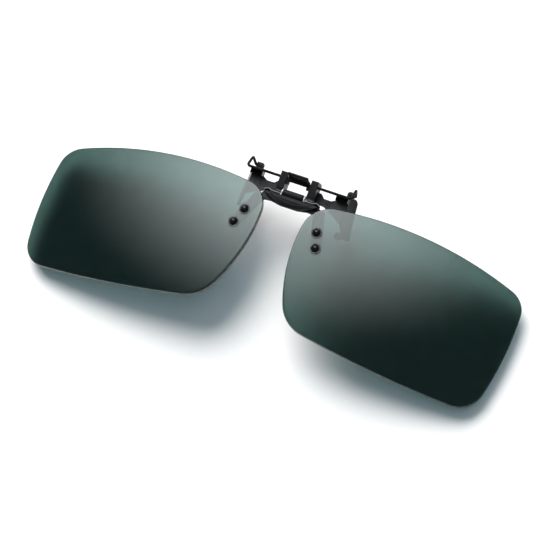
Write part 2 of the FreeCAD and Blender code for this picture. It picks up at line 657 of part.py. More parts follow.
# -------------------------------------------------- slide blocks, caps, posts, springs
for name, side in SIDES:
    middle = f"{side} * (block_inner + block_width / 2)"
    block_top = "block_foot + block_height"
    blank = box(f"{name}_block_blank", span(side, "block_inner", pillar),
                ("-block_front", "plate_front - 0.05"), ("block_foot", block_top))
    soft = round_edges(f"{name}_block_soft", blank, "block_width * 0.08",
                       lambda edge: abs(edge.tangentAt(edge.FirstParameter).y) < 0.5
                       and all(v.Point.y < 0 for v in edge.Vertexes))
    bore = rod(f"{name}_spring_bore", "bore_radius", "block_height",
               (middle, "bore_back", "block_foot + block_floor"), "z")
    post_way = rod(f"{name}_post_way", "post_radius + fit_gap", "block_height",
                   (middle, "bore_back", "block_foot - block_floor"), "z")
    way_length = "block_inner + block_width * 2"
    wire_way = rod(f"{name}_wire_way", "wire_radius", way_length,
                   ("0" if side > 0 else f"-({way_length})", "wire_back", "wire_height"), "x")
    keep(cut(f"{name}_slide_block", soft, bore, post_way, wire_way))
    keep(rod(f"{name}_block_cap", "bore_radius", "cap_wall",
             (middle, "bore_back", f"{block_top} - cap_wall"), "z"))
    head_top = f"{block_top} - cap_wall - 0.1"
    shank = rod(f"{name}_post_shank", "post_radius", f"{head_top} - (block_foot - seat_gap - foot_wall)",
                (middle, "bore_back", "block_foot - seat_gap - foot_wall"), "z")
    head = rod(f"{name}_post_head", "post_head_radius", "post_head_height",
               (middle, "bore_back", f"{head_top} - post_head_height"), "z")
    keep(fuse(f"{name}_guide_post", shank, head))
    floor = "block_foot + block_floor + spring_wire + 0.02"
    spring = doc.addObject("PartDesign::Body", f"{name}_spring")
    ring = spring.newObject("Sketcher::SketchObject", "ring")
    ring.AttachmentSupport = (origin_plane(spring, "XZ_Plane"), "")
    ring.MapMode = "FlatFace"
    ring.addGeometry(Part.Circle(Vector(value("spring_radius"), 0, 0), Vector(0, 0, 1),
                                 value("spring_wire")), False)
    for kind, point, number, text in (
            ("Radius", (0,), value("spring_wire"), "spring_wire"),
            ("DistanceX", (-1, 1, 0, 3), value("spring_radius"), "spring_radius"),
            ("DistanceY", (-1, 1, 0, 3), 0.0, "0")):
        rule = ring.addConstraint(Sketcher.Constraint(kind, *point, number))
        ring.setExpression(f"Constraints[{rule}]", full(text))
    coil = spring.newObject("PartDesign::AdditiveHelix", "coil")
    coil.Profile = ring
    coil.ReferenceAxis = (ring, ["V_Axis"])
    coil.Mode = "height-turns-angle"
    length = f"{head_top} - post_head_height - spring_wire - 0.02 - ({floor})"
    coil.setExpression("Height", full(length))
    coil.setExpression("Turns", full("spring_turns"))
    keep(spring, Placement(Vector(value(middle), value("bore_back"), value(floor)), Rotation()))

# -------------------------------------------------------------- claw wire and its boots
right_half = [
    Vector(value("wire_half"), value("wire_back"), value("wire_height")),
    Vector(value("wire_half - 0.2"), value("hook_back"), value("hook_height")),
    Vector(value("tip_outer"), value("tip_back"), value("tip_height")),
    Vector(value("tip_inner"), value("tip_back"), value("tip_height")),
]
left_half = [Vector(-p.x, p.y, p.z) for p in reversed(right_half)]
claw_wire = doc.addObject("Part::Feature", "claw_wire")
right_bends = [value("wire_bend"), value("wire_bend"), value("tip_bend")]
claw_wire.Shape = sweep_round(bent_path(left_half + right_half, right_bends[::-1] + right_bends),
                              value("wire_radius"))
keep(claw_wire, Placement())
for name, side in SIDES:
    mouth = Vector(side * value("tip_inner + boot_length - boot_nose"), value("tip_back"),
                   value("tip_height"))
    boot(f"{name}_upper_boot", "wire_radius", mouth, side)

# --------------------------------------------------------------------------- thumb bar
wrap_radius = "wire_radius + bar_wall"
bar_sheet = pad("bar_sheet", "YZ_Plane", [
    ("wire_back", "wire_height"),
    (f"wire_back - ({wrap_radius}) * 0.5", f"wire_height + ({wrap_radius}) * 0.85"),
    ("-bar_front", "bar_rise + bar_wall / 2"),
    ("-bar_front", "bar_rise - bar_wall / 2"),
    (f"wire_back - ({wrap_radius}) * 0.9", f"wire_height + ({wrap_radius}) * 0.1"),
], "-bar_half", "bar_half")
wrap = rod("bar_wrap", wrap_radius, "bar_half * 2", ("-bar_half", "wire_back", "wire_height"), "x")
roll = rod("bar_roll", "bar_wall * 0.8", "bar_half * 2", ("-bar_half", "-bar_front", "bar_rise"), "x")
gussets = []
for name, side in SIDES:
    gussets.append(box(f"{name}_gusset",
                       span(side, "block_inner - gusset_width", "block_inner"),
                       ("wire_back - bar_wall", "wire_back + bar_wall"),
                       ("wire_height - wire_radius - gusset_height", "wire_height")))
bar_blank = fuse("bar_blank", bar_sheet, wrap, roll, *gussets)
wire_way = rod("bar_wire_way", "wire_radius", "block_inner * 4",
               ("-block_inner * 2", "wire_back", "wire_height"), "x")
keep(cut("thumb_bar", bar_blank, wire_way))


# ------------------------------------------------------------------------------ output
doc.recompute()
failed = [o.Label for o in doc.Objects if "Invalid" in o.State or "Error" in o.State]
if failed:
    raise SystemExit("failed features: " + ", ".join(failed))
for label, item in nodes.items():
    shape = item.Shape
    if shape.isNull() or not shape.isValid() or not shape.Solids:
        raise SystemExit("bad shape: " + label)

os.makedirs("parts", exist_ok=True)
for label, item in sorted(nodes.items()):
    item.Shape.exportStep(f"parts/{label}.step")
    room = item.Shape.BoundBox
    print(f"{label:24s} solids {len(item.Shape.Solids)} volume {item.Shape.Volume:9.3f} "
          f"x {room.XMin:7.2f} {room.XMax:7.2f} y {room.YMin:6.2f} {room.YMax:6.2f} "
          f"z {room.ZMin:7.2f} {room.ZMax:6.2f}")
print(len(nodes), "sub-parts")
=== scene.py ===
# %% [markdown]
# # Clip-on flip lenses
#
# Two tinted lenses hang from a small hinge, and the hinge hangs from a spring clip that
# grips a pair of spectacles. This lesson gives each part its finish, and swaps the
# parts whose looks depend on smooth curves (lenses, rivets, wire, rubber boots) for
# surfaces worked out with numpy.

# %% Load the frame
import json
import math

import bmesh
import bpy
import numpy as np
from mathutils import Matrix, Vector


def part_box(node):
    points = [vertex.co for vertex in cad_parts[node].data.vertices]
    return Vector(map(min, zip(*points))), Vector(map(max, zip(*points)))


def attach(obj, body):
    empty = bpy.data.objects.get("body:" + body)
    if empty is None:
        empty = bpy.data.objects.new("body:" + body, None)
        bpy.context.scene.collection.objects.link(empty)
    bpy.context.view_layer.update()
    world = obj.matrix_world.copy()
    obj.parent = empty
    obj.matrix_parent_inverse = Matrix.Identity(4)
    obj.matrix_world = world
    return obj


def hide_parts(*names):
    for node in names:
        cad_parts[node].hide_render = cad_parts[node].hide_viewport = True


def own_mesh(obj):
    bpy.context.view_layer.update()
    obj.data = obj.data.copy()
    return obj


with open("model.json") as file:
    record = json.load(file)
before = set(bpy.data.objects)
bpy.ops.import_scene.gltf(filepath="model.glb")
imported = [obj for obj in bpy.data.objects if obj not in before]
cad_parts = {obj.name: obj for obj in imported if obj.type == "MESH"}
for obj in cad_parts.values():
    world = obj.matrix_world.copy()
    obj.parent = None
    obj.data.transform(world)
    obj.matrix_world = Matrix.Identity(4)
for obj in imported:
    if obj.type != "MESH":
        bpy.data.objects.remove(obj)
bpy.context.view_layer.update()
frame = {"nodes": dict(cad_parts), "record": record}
body_of = {node: body for body, nodes in frame["record"]["behaviour"]["bodies"].items()
           for node in nodes}
SIDES = (("left", -1), ("right", 1))
MM = 0.001

# %% [markdown]
# ## The camera
#
# A long lens about a metre away keeps the true proportions of the two lenses, one of
# which is nearer than the other.  The camera looks at the front from the right and
# a little from below the clip's own level, and it is rolled, so that the bridge slopes
# down to the right.  A camera could be aimed with an empty and a constraint, but three
# written axes are exact and need no extra object.

# %% Camera
camera_place = Vector((335.1, -1106.7, -152.0)) * MM
towards_camera = Vector((0.2872, -0.9495, -0.1262)).normalized()
image_right = Vector((0.9090, 0.2286, 0.3485))
object_middle = Vector((0, 1.23, -4.68)) * MM
aim_right, aim_down = -2.18 * MM, 17.22 * MM      # picture centre, from the object's middle
focal_length, film_width = 288.7, 36.0            # mm, as Blender's camera takes them
nearest_seen, farthest_seen = 0.05, 20.0


def add_camera():
    """A long lens whose axis passes aim_right and aim_down of the object's middle."""
    across = (image_right - towards_camera * image_right.dot(towards_camera)).normalized()
    upward = towards_camera.cross(across)
    target = object_middle + across * aim_right - upward * aim_down
    back = (camera_place - target).normalized()
    across = (across - back * across.dot(back)).normalized()
    upward = back.cross(across)
    data = bpy.data.cameras.new("long_lens")
    data.lens, data.sensor_width = focal_length, film_width
    data.clip_start, data.clip_end = nearest_seen, farthest_seen
    camera = bpy.data.objects.new("long_lens", data)
    turn = Matrix((across, upward, back)).transposed()
    camera.matrix_world = Matrix.Translation(camera_place) @ turn.to_4x4()
    bpy.context.scene.collection.objects.link(camera)
    bpy.context.scene.camera = camera
    print("camera", round((camera_place - target).length, 3), "m away")


add_camera()

# %% [markdown]
# ## The studio
#
# A tinted lens shows mostly what it mirrors.  One broad softbox stands above and to the
# left of the camera, and its soft edge is what draws the slow fade from pale at the
# bridge to nearly black at the outer corners.  The softbox could be an area light, but
# those have hard edges in a mirror, so it is painted into the world as an ellipse whose
# brightness falls away smoothly from its middle.

# %% World with one soft panel
panel_azimuth, panel_height = math.radians(-24.0), math.radians(41.9)
panel_half_width, panel_half_height = math.radians(47.0), math.radians(24.5)
panel_glow, panel_core, room_glow = 3.1, 0.15, 0.035
panel_tint, white = (0.93, 0.99, 1.0, 1.0), (1.0, 1.0, 1.0, 1.0)


def node_of(tree, kind, **inputs):
    """A shader node with some of its inputs set or linked by name."""
    node = tree.nodes.new(kind)
    for key, value in inputs.items():
        socket = node.inputs[key.replace("_", " ")]
        if isinstance(value, bpy.types.NodeSocket):
            tree.links.new(value, socket)
        else:
            socket.default_value = value
    return node


def sum_of(tree, operation, *values):
    """A Math node's result."""
    node = tree.nodes.new("ShaderNodeMath")
    node.operation = operation
    for socket, value in zip(node.inputs, values):
        if isinstance(value, bpy.types.NodeSocket):
            tree.links.new(value, socket)
        else:
            socket.default_value = value
    return node.outputs[0]


def add_world():
    """White to the camera, and to all other rays a dim room with one elliptical softbox.

    With u = (azimuth - panel azimuth) / half width and v the same in height, the glow at
    r = sqrt(u^2 + v^2) falls smoothly from panel_glow at the core to nothing at r = 1.
    """
    world = bpy.data.worlds.new("studio")
    bpy.context.scene.world = world
    world.use_nodes = True
    tree = world.node_tree
    tree.nodes.clear()
    way = node_of(tree, "ShaderNodeSeparateXYZ",
                  Vector=tree.nodes.new("ShaderNodeTexCoord").outputs["Generated"])
    x, y, z = way.outputs
    azimuth = sum_of(tree, "ARCTAN2", x, sum_of(tree, "MULTIPLY", y, -1.0))
    height = sum_of(tree, "ARCSINE", z)
    u = sum_of(tree, "DIVIDE", sum_of(tree, "SUBTRACT", azimuth, panel_azimuth),
               panel_half_width)
    v = sum_of(tree, "DIVIDE", sum_of(tree, "SUBTRACT", height, panel_height),
               panel_half_height)
    squares = sum_of(tree, "ADD", sum_of(tree, "MULTIPLY", u, u),
                     sum_of(tree, "MULTIPLY", v, v))
    fade = tree.nodes.new("ShaderNodeMapRange")
    fade.interpolation_type = "SMOOTHSTEP"
    tree.links.new(sum_of(tree, "SQRT", squares), fade.inputs["Value"])
    fade.inputs["From Min"].default_value = panel_core
    fade.inputs["To Min"].default_value = panel_glow
    fade.inputs["To Max"].default_value = 0.0
    glow = sum_of(tree, "ADD", fade.outputs["Result"], room_glow)
    studio = node_of(tree, "ShaderNodeBackground", Color=panel_tint, Strength=glow)
    paper = node_of(tree, "ShaderNodeBackground", Color=white, Strength=1.0)
    seen = tree.nodes.new("ShaderNodeLightPath").outputs["Is Camera Ray"]
    mix = node_of(tree, "ShaderNodeMixShader", Fac=seen)
    tree.links.new(studio.outputs[0], mix.inputs[1])
    tree.links.new(paper.outputs[0], mix.inputs[2])
    out = tree.nodes.new("ShaderNodeOutputWorld")
    tree.links.new(mix.outputs[0], out.inputs["Surface"])
    bpy.context.scene.view_settings.view_transform = "Standard"
    print("softbox glow", panel_glow, "room glow", room_glow)


add_world()

# %% [markdown]
# ## The table
#
# The lenses lie on their backs just over white paper, so the paper keeps its place
# behind them: it rides on the lens unit, and when the hinge moves it is the clip that
# is lifted.  It is one-sided: from behind it is clear, as a sheet of glass would be,
# and it holds back no light, so the back of the object can be looked at as well.

# %% Paper
table_depth, table_slope = 12.9 * MM, 0.2265      # behind the hinge, and per metre of height
table_foot = -5.6 * MM                            # height at which that depth holds
table_half = 0.6                                  # metres from its middle to an edge
paper_tint = (0.95, 0.95, 0.95, 1.0)


def add_table():
    """A square sheet that leans: y = depth + slope * (z - foot)."""
    data = bpy.data.meshes.new("paper")
    corners = [(x * table_half, table_depth + table_slope * (z * table_half - table_foot),
                z * table_half)
               for x, z in ((-1, -1), (1, -1), (1, 1), (-1, 1))]
    data.from_pydata(corners, [], [(0, 1, 2, 3)])
    table = bpy.data.objects.new("paper", data)
    bpy.context.scene.collection.objects.link(table)
    table.visible_shadow = False
    skin = bpy.data.materials.new("paper")
    skin.use_nodes = True
    tree = skin.node_tree
    tree.nodes.clear()
    front = node_of(tree, "ShaderNodeBsdfDiffuse", Color=paper_tint)
    clear = node_of(tree, "ShaderNodeBsdfTransparent")
    back = tree.nodes.new("ShaderNodeNewGeometry").outputs["Backfacing"]
    mix = node_of(tree, "ShaderNodeMixShader", Fac=back)
    tree.links.new(front.outputs[0], mix.inputs[1])
    tree.links.new(clear.outputs[0], mix.inputs[2])
    out = tree.nodes.new("ShaderNodeOutputMaterial")
    tree.links.new(mix.outputs[0], out.inputs["Surface"])
    data.materials.append(skin)
    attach(table, "lens_unit")
    print("paper faces", tuple(round(c, 2) for c in data.polygons[0].normal))


add_table()

# %% [markdown]
# Three area lights help the panel.  The key lights the paper from the same side as the
# panel, so that the shadows fall down and away from it.  A weak, cool fill in front opens
# up the black parts, and the light behind is for the views from there.  None of them
# shows in a mirror or through a lens, so the lenses keep their one clean fade.

# %% Lamps
def add_lamp(name, towards, distance, size, watts, tint):
    """A round area light, size across, that shines at the hinge from that direction."""
    data = bpy.data.lights.new(name, "AREA")
    data.shape, data.size, data.energy, data.color = "DISK", size, watts, tint
    lamp = bpy.data.objects.new(name, data)
    way = Vector(towards).normalized()
    lamp.matrix_world = (Matrix.Translation(way * distance)
                         @ way.to_track_quat("Z", "Y").to_matrix().to_4x4())
    lamp.visible_glossy = False
    lamp.visible_transmission = False
    lamp.visible_camera = False
    bpy.context.scene.collection.objects.link(lamp)
    print("lamp", name, watts, "W")


add_lamp("key", (-0.44, -0.62, 0.65), 1.0, 1.1, 18.0, (1.0, 0.985, 0.965))
add_lamp("fill", (0.3, -0.9, 0.2), 1.2, 1.0, 2.5, (0.78, 0.86, 1.0))
add_lamp("behind", (0.3, 0.8, 0.5), 1.2, 0.8, 6.0, (1.0, 1.0, 1.0))

# %% [markdown]
# ## Finishes
#
# Every finish is a Principled shader, and its pattern comes from noise on Object
# coordinates, so that it stays put while the parts move.  The scales are per metre: a
# grain of 0.3 mm needs a noise scale of about 3000.  An image could paint the grain,
# but noise is sharp at any distance and needs no unwrapping.

# %% Finish helper
noise_low, noise_high = 0.3, 0.7      # nearly all of a noise's values lie between these
coarse_share = 0.12                   # scale of the coarse noise beside the fine one's


def finish_of(name, dark, light, grain, rough, bump, **shader):
    """A Principled finish.

    Colour runs from dark to light over a noise of the grain's size, roughness runs over
    rough (low, high) by a coarser noise, and bump raises the fine noise by that many metres;
    a polished finish has a bump of 0.
    """
    skin = bpy.data.materials.new(name)
    skin.use_nodes = True
    tree = skin.node_tree
    tree.nodes.clear()
    place = tree.nodes.new("ShaderNodeTexCoord").outputs["Object"]
    fine = node_of(tree, "ShaderNodeTexNoise", Vector=place, Scale=1.0 / grain, Detail=4.0,
                   Roughness=0.6)
    coarse = node_of(tree, "ShaderNodeTexNoise", Vector=place, Scale=coarse_share / grain,
                     Detail=3.0)
    colour = tree.nodes.new("ShaderNodeValToRGB")
    tree.links.new(fine.outputs["Fac"], colour.inputs["Fac"])
    low, high = colour.color_ramp.elements
    low.position, low.color = noise_low, (*dark, 1.0)
    high.position, high.color = noise_high, (*light, 1.0)
    spread = tree.nodes.new("ShaderNodeMapRange")
    tree.links.new(coarse.outputs["Fac"], spread.inputs["Value"])
    for key, value in zip(("From Min", "From Max", "To Min", "To Max"),
                          (noise_low, noise_high, *rough)):
        spread.inputs[key].default_value = value
    core = node_of(tree, "ShaderNodeBsdfPrincipled", Base_Color=colour.outputs["Color"],
                   Roughness=spread.outputs["Result"], **shader)
    if bump:
        relief = node_of(tree, "ShaderNodeBump", Height=fine.outputs["Fac"], Distance=bump)
        tree.links.new(relief.outputs["Normal"], core.inputs["Normal"])
    out = tree.nodes.new("ShaderNodeOutputMaterial")
    tree.links.new(core.outputs[0], out.inputs["Surface"])
    print("finish", name)
    return skin


# %% [markdown]
# The metal parts have four finishes.  The clip's spring sheet and the brow's rims are
# satin black nickel, the lightest of them.  The hinge, brow, slide blocks and thumb bar
# are plated darker.  The pin, posts, springs and detent leaf are bare drawn steel, and
# the rivets are gloss black.

# %% Metals
gunmetal = finish_of("satin_black_nickel", (0.16, 0.16, 0.165), (0.27, 0.27, 0.28), 0.00022,
                     (0.26, 0.42), 0.000004, Metallic=0.92)
black_plated = finish_of("dark_plating", (0.010, 0.010, 0.011), (0.024, 0.024, 0.026), 0.0002,
                         (0.34, 0.52), 0.000003, Metallic=0.25, Specular_IOR_Level=0.35)
gloss_black = finish_of("gloss_black_paint", (0.004, 0.004, 0.005), (0.012, 0.013, 0.014), 0.0003,
                        (0.10, 0.20), 0.000001, Metallic=0.2, Coat_Weight=0.8, Coat_Roughness=0.06)
spring_steel = finish_of("drawn_steel", (0.30, 0.30, 0.31), (0.46, 0.46, 0.47), 0.00016,
                         (0.24, 0.38), 0.000002, Metallic=1.0)

# %% [markdown]
# The lenses are cast sheet with a green-grey tint right through, polished on both
# faces.  Glass with a coloured body could be a volume, but in a wall of one millimetre
# a tinted transmission looks the same and costs much less time.  A surface mirrors
# ((n - 1) / (n + 1))^2 of the light that meets it head on, a twentieth for the plastic's
# own index of 1.59.  These lenses are taken to have a mirror coat that gives about a
# tenth, so their index here is 1.9.

# %% Lens, clear plastic, black wire and rubber
lens_tint = finish_of("green_grey_tint", (0.052, 0.104, 0.092), (0.060, 0.120, 0.106), 0.004,
                      (0.0, 0.012), 0.0, Transmission_Weight=1.0, IOR=1.9)
clear_plastic = finish_of("clear_plastic", (0.30, 0.32, 0.32), (0.40, 0.42, 0.42), 0.0004,
                          (0.08, 0.18), 0.000001, Transmission_Weight=0.9, IOR=1.49)
wire_black = finish_of("blackened_wire", (0.004, 0.004, 0.005), (0.012, 0.012, 0.013), 0.00015,
                       (0.50, 0.65), 0.000002, Specular_IOR_Level=0.2)
claw_rubber = finish_of("soft_rubber", (0.012, 0.012, 0.013), (0.030, 0.030, 0.032), 0.00012,
                        (0.50, 0.68), 0.000006, Specular_IOR_Level=0.35)

# %% [markdown]
# A path tracer seldom finds a lamp through glass that bends its rays, so a lens would
# cast a black shadow.  To a shadow ray each see-through piece is therefore a flat tinted
# filter.  The ray meets two faces on its way, so the light left is the tint squared.

# %% Tinted shadows
lens_shadow, plastic_shadow = (0.19, 0.26, 0.27), (0.8, 0.82, 0.82)


def tinted_shadow(skin, tint):
    """Makes a finish a clear tinted filter to shadow rays, and leaves the rest as it is."""
    tree = skin.node_tree
    core = next(n for n in tree.nodes if n.type == "BSDF_PRINCIPLED")
    out = next(n for n in tree.nodes if n.type == "OUTPUT_MATERIAL")
    shadow = tree.nodes.new("ShaderNodeLightPath").outputs["Is Shadow Ray"]
    clear = node_of(tree, "ShaderNodeBsdfTransparent", Color=(*tint, 1.0))
    mix = node_of(tree, "ShaderNodeMixShader", Fac=shadow)
    tree.links.new(core.outputs[0], mix.inputs[1])
    tree.links.new(clear.outputs[0], mix.inputs[2])
    tree.links.new(mix.outputs[0], out.inputs["Surface"])


tinted_shadow(lens_tint, lens_shadow)
tinted_shadow(clear_plastic, plastic_shadow)
print("tinted shadows", lens_shadow, plastic_shadow)

# %% [markdown]
# The record names a slot for each part, and each slot has one of these finishes.

# %% Finish of each slot
FINISHES = {"gunmetal": gunmetal, "black_plated": black_plated, "gloss_black": gloss_black,
            "spring_steel": spring_steel, "lens_tint": lens_tint,
            "clear_plastic": clear_plastic, "claw_rubber": claw_rubber}
print(len(FINISHES), "slots")

# %% [markdown]
# Some of the sheet metal is painted more than one colour.  The clip's cheeks and wire
# ledges are painted black as painted shade: the cheeks face away from the light and the
# ledges lie in the shade under the wire.  The arms that carry the lenses are painted paler
# than the hinge, and the edges of the hinge's ears are painted near white as a painted
# highlight.  A zone is a band of distance from the middle plane, above some height, so it
# is found from the Object coordinates alone.

# %% Zones of another colour
FACTOR, FIRST_COLOUR, SECOND_COLOUR, COLOUR_OUT = 0, 6, 7, 2      # sockets of a colour Mix node
# The black of the cheeks and ledges is painted shade; the near white of the ears is a painted
# highlight.
cheek_shade_zone, ledge_shade_zone = (13.66, 20.0, -10.0), (10.45, 13.9, 2.62)
arm_zone, ear_highlight_zone = (8.75, 20.0, -20.0), (3.02, 3.27, -2.0)
painted_shade_black, arm_grey, ear_painted_highlight = (0.012, 0.012, 0.013), (0.42, 0.41, 0.43), (0.80, 0.80, 0.82)


def zoned(skin, colour, *zones):
    """Gives a copy of a finish another colour inside its zones.

    A zone is (nearest, farthest, foot) in mm: distances from the middle plane, and the
    lowest height above the hinge.
    """
    skin = skin.copy()
    tree = skin.node_tree
    core = next(n for n in tree.nodes if n.type == "BSDF_PRINCIPLED")
    place = tree.nodes.new("ShaderNodeTexCoord").outputs["Object"]
    x, _, z = node_of(tree, "ShaderNodeSeparateXYZ", Vector=place).outputs
    away = sum_of(tree, "ABSOLUTE", x)
    inside = 0.0
    for nearest, farthest, foot in zones:
        past = sum_of(tree, "GREATER_THAN", away, nearest * MM)
        short = sum_of(tree, "LESS_THAN", away, farthest * MM)
        above = sum_of(tree, "GREATER_THAN", z, foot * MM)
        here = sum_of(tree, "MULTIPLY", sum_of(tree, "MULTIPLY", past, short), above)
        inside = sum_of(tree, "MAXIMUM", here, inside)
    mix = tree.nodes.new("ShaderNodeMix")
    mix.data_type = "RGBA"
    tree.links.new(inside, mix.inputs[FACTOR])
    tree.links.new(core.inputs["Base Color"].links[0].from_socket,
                   mix.inputs[FIRST_COLOUR])
    mix.inputs[SECOND_COLOUR].default_value = (*colour, 1.0)
    tree.links.new(mix.outputs[COLOUR_OUT], core.inputs["Base Color"])
    return skin


NODE_FINISHES = {
    "claw_wire": wire_black,
    # The clip plate's black cheek and ledge zones are painted shade.
    "clip_plate": zoned(gunmetal, painted_shade_black, cheek_shade_zone, ledge_shade_zone),
    "bridge_plate": zoned(black_plated, arm_grey, arm_zone)}
for name, _ in SIDES:
    # The near white on the ears' edges is a painted highlight.
    NODE_FINISHES[f"{name}_hinge_bracket"] = zoned(black_plated, ear_painted_highlight, ear_highlight_zone)
print("zoned finishes", list(NODE_FINISHES))

# %% [markdown]
# Every part of the frame names its finish by slot.  The parts keep their own meshes and
# take the new finish in place of the plain one.

# %% Give each part its finish
slot_of = {part["node"]: part["material_slot"] for part in frame["record"]["subparts"]}
for node, item in frame["nodes"].items():
    for place in item.material_slots:
        place.material = NODE_FINISHES.get(node, FINISHES[slot_of[node]])
print({slot: list(slot_of.values()).count(slot) for slot in FINISHES})

# %% [markdown]
# ## Building pieces from rings
#
# A lens, a rivet, a boot and a bent wire are all stacks of closed rings.  The points sit
# in an array (ring, place on the ring, xyz), so one function can make faces for all of
# them: each face joins a place, the next place, and the same two on the next ring.  The
# first and last rings may shrink to a point, which closes the piece, or the last ring
# may join the first, which makes a tube round a hole.

# %% Rings to a piece
ring_weld = 2e-7      # metres within which a shrunken ring's points are one point


def stacked(name, rings, node, hollow=False, crease=35.0):
    """A piece made of rings (ring, place, xyz) that stands for a CAD node.

    A hollow piece also joins its last ring to its first; crease, in degrees, is the angle
    past which an edge stays sharp.
    """
    count, around = rings.shape[:2]
    at = np.arange(count * around).reshape(count, around)
    upper = np.roll(at, -1, axis=0) if hollow else at[1:]
    lower = at if hollow else at[:-1]
    faces = np.stack([lower, np.roll(lower, -1, 1), np.roll(upper, -1, 1), upper], -1)
    mesh = bpy.data.meshes.new(name)
    mesh.from_pydata(rings.reshape(-1, 3).tolist(), [], faces.reshape(-1, 4).tolist())
    tidy = bmesh.new()
    tidy.from_mesh(mesh)
    bmesh.ops.remove_doubles(tidy, verts=tidy.verts, dist=ring_weld)
    bmesh.ops.recalc_face_normals(tidy, faces=tidy.faces)
    tidy.to_mesh(mesh)
    tidy.free()
    piece = bpy.data.objects.new(name, mesh)
    bpy.context.scene.collection.objects.link(piece)
    mesh.shade_smooth()
    mesh.set_sharp_from_angle(angle=math.radians(crease))
    return settle(piece, node)


def settle(piece, *nodes):
    """Finish, slot, body and the nodes that the piece stands for."""
    slot = slot_of[nodes[0]]
    piece.data.materials.clear()
    piece.data.materials.append(NODE_FINISHES.get(nodes[0], FINISHES[slot]))
    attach(piece, body_of[nodes[0]])
    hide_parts(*nodes)
    return piece


def axes_round(axis):
    """Two unit vectors square to an axis and to each other."""
    axis = np.asarray(axis, float) / np.linalg.norm(axis)
    skew = (0.31, 0.87, 0.38)      # a direction that no axis here is parallel to
    first = np.cross(axis, skew)
    first /= np.linalg.norm(first)
    return first, np.cross(axis, first)


def lathed(name, centre, axis, profile, node, hollow=False, around=64):
    """Turns a profile of (radius, height) about an axis through centre."""
    radius, height = np.asarray(profile, float).T
    first, second = axes_round(axis)
    turn = np.linspace(0, 2 * np.pi, around, endpoint=False)
    spoke = np.cos(turn)[:, None] * first + np.sin(turn)[:, None] * second
    rings = (np.asarray(centre, float) + height[:, None, None] * np.asarray(axis, float)
             + radius[:, None, None] * spoke[None])
    return stacked(name, rings, node, hollow)


# %% [markdown]
# ## The lenses
#
# Each lens is a cap of a large ball, 1.1 mm thick, with four softly arched edges.  The
# frame's lens is flat-faceted, which would break up a reflection, so the piece here is
# worked out anew.  Its outline is read from the frame: in the lens's own axes the edge
# is square to the view, so the outline is the hull of the lens's points.  For every
# direction the hull's reach is the largest dot product, and the distance to the edge
# along an angle is the smallest reach divided by the cosine between the two.

# %% Lens axes and outline
lens_curve, lens_wall = 250 * MM, 1.1 * MM
lens_wrap, rest_flip = math.radians(10.6), math.radians(15.0)
lens_crown = Vector((36.0, 2.4, -4.2)) * MM
edge_round = 0.16 * MM
facings, least_cosine, out_of_reach = 1440, 0.2, 1.0      # for the search of the outline


def lens_axes(side):
    """Crown of the lens surface as a 4x4 matrix: X along the lens, Y back, Z up."""
    crown = Vector((side * lens_crown.x, lens_crown.y, lens_crown.z))
    return (Matrix.Rotation(-rest_flip, 4, "X") @ Matrix.Translation(crown)
            @ Matrix.Rotation(side * lens_wrap, 4, "Z"))


def points_of(node):
    """The points of a CAD node as an array."""
    mesh = frame["nodes"][node].data
    found = np.empty(len(mesh.vertices) * 3, np.float32)
    mesh.vertices.foreach_get("co", found)
    return found.reshape(-1, 3).astype(float)


def lens_outline(node, axes, around):
    """The middle of the lens and the distance to its edge for each angle round it."""
    inverse = np.array(axes.inverted())
    local = points_of(node) @ inverse[:3, :3].T + inverse[:3, 3]
    flat = local[:, [0, 2]]
    middle = (flat.min(0) + flat.max(0)) / 2
    facing = np.linspace(0, 2 * np.pi, facings, endpoint=False)
    reach = ((flat - middle) @ np.stack([np.cos(facing), np.sin(facing)])).max(0)
    angle = np.linspace(0, 2 * np.pi, around, endpoint=False)
    lean = np.cos(angle[:, None] - facing[None, :])
    crossing = reach[None, :] / np.maximum(lean, least_cosine)
    distance = np.where(lean > least_cosine, crossing, out_of_reach).min(1)
    return middle, angle, distance


# %% [markdown]
# The rings run from the middle of the front, out over the face, round the polished edge
# and back to the middle of the back.  Over each face a point's depth is that of a ball:
# the ball's radius less the height of the right triangle under it.  The edge has a
# small quarter round at each face, which is what catches the bright line at its rim.

# %% Lens piece
rim_crowding = 0.85                   # below 1, the rings lie closer together towards the rim
hole_radius, cutter_reach = 0.94 * MM, 3 * MM


def ball_depth(x, z, radius):
    """depth = curve - sqrt(radius^2 - x^2 - z^2), for a ball centred one curve behind."""
    return lens_curve - np.sqrt(radius ** 2 - x ** 2 - z ** 2)


def lens_rings(middle, angle, distance, steps=44):
    """Rings of the whole lens in its own axes."""
    spoke = np.stack([np.cos(angle), np.sin(angle)], -1)
    rings = []
    share = np.linspace(0, 1, steps) ** rim_crowding
    quarter = np.linspace(0, np.pi / 2, 4)
    for radius, order in ((lens_curve, 1), (lens_curve - lens_wall, -1)):
        face = []
        for s in share:
            flat = middle + spoke * ((distance - edge_round) * s)[:, None]
            face.append(np.stack([flat[:, 0], ball_depth(*flat.T, radius), flat[:, 1]], -1))
        for q in quarter[1:]:
            flat = middle + spoke * (distance - edge_round * (1 - np.sin(q)))[:, None]
            sunk = ball_depth(*flat.T, radius) + order * edge_round * (1 - np.cos(q))
            face.append(np.stack([flat[:, 0], sunk, flat[:, 1]], -1))
        rings += face[::order]
    return np.array(rings)


def bored(piece, cutters):
    """The piece with round holes through it, cut exactly."""
    for cutter in cutters:
        hole = piece.modifiers.new("hole", "BOOLEAN")
        hole.operation, hole.object, hole.solver = "DIFFERENCE", cutter, "EXACT"
    solid = piece.evaluated_get(bpy.context.evaluated_depsgraph_get())
    mesh = bpy.data.meshes.new_from_object(solid)
    piece.modifiers.clear()
    piece.data = mesh
    for cutter in cutters:
        bpy.data.objects.remove(cutter)


def washer_spot(node):
    """Centre and forward axis of a washer: the axis is the way its points spread least."""
    points = points_of(node)
    centre = points.mean(0)
    axis = np.linalg.svd(points - centre, full_matrices=False)[2][2]
    return centre, axis * -np.sign(axis[1])


